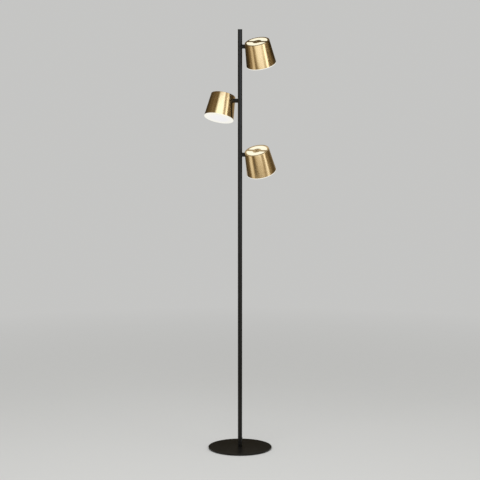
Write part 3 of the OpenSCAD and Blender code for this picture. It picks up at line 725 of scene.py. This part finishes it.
def hub_screw(i):
    """The countersunk screw in the boss, with its hexagon socket."""
    head, shank = 2 * hub_screw_r, hub_screw_r
    floor = shade_top - hub_socket_depth
    end = shade_top - hub_screw_len
    soft = fine_break
    corner = hub_socket_w / 2 / math.cos(math.radians(30))
    bm = bmesh.new()
    outside = revolved_rings(bm, [(shank - soft, end), (shank, end + soft), (shank, shade_top - hub_screw_r),
                                  (head - soft, shade_top - soft), (head - 1.5 * soft, shade_top)],
                             SCREW_ROUND)
    cap(bm, [outside[0]], -1)
    turns = [math.radians(60 * k) for k in range(6)]
    socket = [ring(bm, [(r * math.cos(a), r * math.sin(a), z) for a in turns])
              for r, z in ((corner + soft, shade_top), (corner, shade_top - soft), (corner, floor))]
    for a, b in zip(socket, socket[1:]):
        strip(bm, a, b, False)
    cap(bm, [outside[-1], socket[0]], 1)
    cap(bm, [socket[-1]], 1)
    made = finish_mesh(f"hub_screw_{HEADS[i]}_dressed", bm, head_place(i))
    dress(made, f"head_{HEADS[i]}", "brass_screw", f"hub_screw_{HEADS[i]}")


foot_plate()
foot_pad()
pole_tube("pole_lower", [(inlet_hole_r, inlet_z, (0, 1, 0))])
pole_tube("pole_middle", [])
pole_tube("pole_upper", [(tube_r + fit, z, (side, 0, 0)) for z, side in zip(arm_z, arm_side)])
pole_cap()
cable_bush()
for i in range(len(HEADS)):
    arm(i)
    swivel_collar(i)
    shade(i)
    top_diffuser(i)
    bottom_diffuser(i)
    hub_screw(i)

# The CAD nodes that stay get their finish too
for row in frame["record"]["subparts"]:
    node = frame["nodes"][row["node"]]
    node.data.materials.clear()
    node.data.materials.append(FINISHES[row["material_slot"]])

# ---------- camera ----------

camera_turn = math.radians(29.0)
camera_pitch = math.radians(6.99)
camera_distance = 5.6823
camera_height = 1.4764
picture_px = 480
focal_px = 1562.96

camera_data = bpy.data.cameras.new("camera")
camera_data.sensor_width = 36
camera_data.lens = camera_data.sensor_width * focal_px / picture_px
camera_data.clip_start, camera_data.clip_end = 0.1, 100
camera = bpy.data.objects.new("camera", camera_data)
camera.location = (camera_distance * math.sin(camera_turn), -camera_distance * math.cos(camera_turn),
                   camera_height)
camera.rotation_euler = (math.radians(90) - camera_pitch, 0, camera_turn)
bpy.context.scene.collection.objects.link(camera)
bpy.context.scene.camera = camera

# ---------- studio ----------

BACKGROUND = (0.56, 0.56, 0.55)
LIGHT_AIM = Vector((0, 0, 1.0))


def studio_world():
    world = bpy.data.worlds.new("studio")
    world.use_nodes = True
    world.node_tree.nodes["Background"].inputs["Color"].default_value = (*BACKGROUND, 1)
    bpy.context.scene.world = world


def studio_floor():
    """A plain pale floor, which fades into the background far from the lamp."""
    radius, clear, gone = 6.0, 1.2, 3.2
    bm = bmesh.new()
    bmesh.ops.create_circle(bm, cap_ends=True, segments=128, radius=radius)
    mesh = bpy.data.meshes.new("floor")
    bm.to_mesh(mesh)
    bm.free()
    made = bpy.data.objects.new("floor", mesh)
    bpy.context.scene.collection.objects.link(made)
    shader = Shader("floor")
    shader.set(Base_Color=(0.72, 0.72, 0.71, 1), Roughness=0.9, Specular_IOR_Level=0.0)
    length = shader.node("ShaderNodeVectorMath", operation="LENGTH")
    shader.link(shader.place, length.inputs[0])
    fade = shader.spread(length.outputs["Value"], 0.0, 1.0, clear, gone)
    through = shader.node("ShaderNodeBsdfTransparent")
    mix = shader.node("ShaderNodeMixShader")
    shader.link(fade, mix.inputs[0])
    shader.link(shader.bsdf.outputs[0], mix.inputs[1])
    shader.link(through.outputs[0], mix.inputs[2])
    shader.link(mix.outputs[0], shader.tree.nodes["Material Output"].inputs["Surface"])
    mesh.materials.append(shader.material)


def towards(azimuth, elevation=0.0):
    """A direction seen from the lamp: azimuth 0 is the camera's side, and plus is to its right."""
    a, e = math.radians(azimuth), math.radians(elevation)
    front = Vector((math.sin(camera_turn), -math.cos(camera_turn), 0))
    right = Vector((math.cos(camera_turn), math.sin(camera_turn), 0))
    return (front * math.cos(a) + right * math.sin(a)) * math.cos(e) + Vector((0, 0, math.sin(e)))


def soft_light(name, azimuth, elevation, distance, size, power):
    """A soft panel that lights the scene and isn't mirrored in the metal."""
    data = bpy.data.lights.new(name, "AREA")
    data.shape = "RECTANGLE"
    data.size, data.size_y = size
    data.energy = power
    made = bpy.data.objects.new(name, data)
    made.location = LIGHT_AIM + towards(azimuth, elevation) * distance
    made.rotation_euler = (-towards(azimuth, elevation)).to_track_quat("-Z", "Y").to_euler()
    made.visible_camera = False
    made.visible_glossy = False
    bpy.context.scene.collection.objects.link(made)


def reflection_card(name, radius, start, stop, low, high, colour):
    """A curved card round the lamp that shows only in reflections. Angles as in towards()."""
    step = 3.0
    count = max(2, math.ceil((stop - start) / step))
    bm = bmesh.new()
    angles = [start + (stop - start) * k / count for k in range(count + 1)]
    bottom = [bm.verts.new(towards(a) * radius + Vector((0, 0, low))) for a in angles]
    top = [bm.verts.new(towards(a) * radius + Vector((0, 0, high))) for a in angles]
    for k in range(count):
        bm.faces.new((bottom[k], bottom[k + 1], top[k + 1], top[k]))
    mesh = bpy.data.meshes.new(name)
    bm.to_mesh(mesh)
    bm.free()
    made = bpy.data.objects.new(name, mesh)
    bpy.context.scene.collection.objects.link(made)
    material = bpy.data.materials.new(name)
    material.use_nodes = True
    nodes = material.node_tree.nodes
    nodes.remove(nodes["Principled BSDF"])
    glow = nodes.new("ShaderNodeEmission")
    glow.inputs["Color"].default_value = (*colour, 1)
    material.node_tree.links.new(glow.outputs[0], nodes["Material Output"].inputs["Surface"])
    material.cycles.emission_sampling = "NONE"
    mesh.materials.append(material)
    made.visible_camera = False
    made.visible_diffuse = False
    made.visible_shadow = False
    made.visible_transmission = False


def card_colour(level):
    """Dim cards are warm, as lamplight is, and bright ones are cool, as daylight is."""
    green = min(0.80 + 0.28 * level, 1.12)
    blue = min(0.47 + 0.72 * level, 1.35)
    return (level, level * green, level * blue)


studio_world()
studio_floor()
soft_light("key", -20, 45, 2.6, (2.0, 1.6), 34)
soft_light("fill", 60, 30, 2.8, (2.0, 2.0), 12)

# The cards stand in sectors round the lamp, as bands of light and dark. The low rows are mirrored by
# the lower head, those above them by the upper head, and the high rows by the middle head, which
# faces up. Each row: lower edge, upper edge, then where each card starts, in degrees as in
# towards(), and how bright it is. The last entry of a row is where it ends.
card_r = 0.9
card_top = 4.2
panel_low, panel_high = 1.6, 2.6
CARD_ROWS = [
    # On the left
    (0.0, 0.93, [(-150, 0.13), (-108, 0.18), (-98, 0.42), (-90, None)]),
    (0.93, 1.48, [(-150, 0.1), (-142, 0.06), (-108, 0.12), (-97, 0.24), (-90, None)]),
    (1.48, card_top, [(-150, 0.12), (-140, 0.08), (-118, 0.13), (-90, None)]),
    # In front
    (0.0, 0.2, [(-90, 0.62), (-58, 0.03), (78, None)]),
    (0.2, 0.4, [(-90, 1.0), (-61, 0.6), (-53, 0.12), (-45, 0.03), (-28, 0.2), (-20, 0.5), (-8, 0.84),
                (12, 0.88), (31, 0.8), (35, None)]),
    (0.4, 0.7, [(-90, 1.0), (-61, 0.7), (-53, 0.3), (-45, 0.16), (-28, 0.24), (-20, 0.46), (-8, 0.62),
                (12, 0.62), (31, 0.62), (35, None)]),
    (0.7, panel_low, [(-90, 0.21), (-76, 0.6), (-64, 0.74), (-47, 0.3), (-33, 0.5), (-26, 0.8), (-18, 1.15),
                      (-5, 1.25), (31, 0.97), (35, None)]),
    (panel_low, card_top, [(-90, 0.18), (-48, 0.33), (-41, None)]),
    (panel_low, card_top, [(31, 0.9), (35, None)]),
    (panel_high, card_top, [(-41, 0.35), (31, None)]),
    # In front, on the right
    (0.2, 1.0, [(35, 0.62), (40, 0.33), (51, 0.5), (58, 1.25), (72, 0.5), (78, None)]),
    (1.0, 1.62, [(35, 0.95), (42, 0.95), (49, 2.1), (63, 0.66), (67, 0.15), (78, None)]),
    (1.62, card_top, [(35, 0.7), (38, 0.25), (49, 0.95), (58, 1.65), (70, 0.68), (75, 0.38), (78, None)]),
    # On the right
    (0.0, 1.2, [(78, 0.33), (90, 0.2), (100, 0.12), (112, 0.1), (130, 0.18), (150, None)]),
    (1.2, 1.41, [(78, 0.17), (88, 0.2), (105, 0.17), (115, 0.22), (130, 0.33), (150, None)]),
    (1.41, card_top, [(78, 0.26), (88, 0.18), (100, 0.06), (110, 0.04), (150, None)]),
    # Behind
    (0.0, 0.5, [(150, 0.05), (210, None)]),
    (0.5, 1.2, [(150, 0.4), (210, None)]),
    (1.2, 1.36, [(150, 0.35), (180, 0.06), (210, None)]),
    (1.36, 1.75, [(150, 0.12), (180, 0.06), (210, None)]),
    (1.75, card_top, [(150, 0.12), (210, None)]),
]
for row, (foot, head, cards) in enumerate(CARD_ROWS):
    for (start, level), (stop, _) in zip(cards, cards[1:]):
        reflection_card(f"card_{row}_{start + 180}", card_r, start, stop, foot, head, card_colour(level))
# A bright panel in front, with a dimmer edge on its left, for the head that faces up
reflection_card("card_bright_edge", card_r, -41, -31, panel_low, panel_high, (0.9, 1.15, 1.35))
reflection_card("card_bright", card_r, -31, 31, panel_low, panel_high, (1.8, 2.1, 2.8))
# A near card behind the lamp that only the flat top of the lower head mirrors
reflection_card("card_near", 0.5, 160, 230, 1.54, 1.74, card_colour(0.7))

bpy.context.scene.view_settings.view_transform = "Standard"
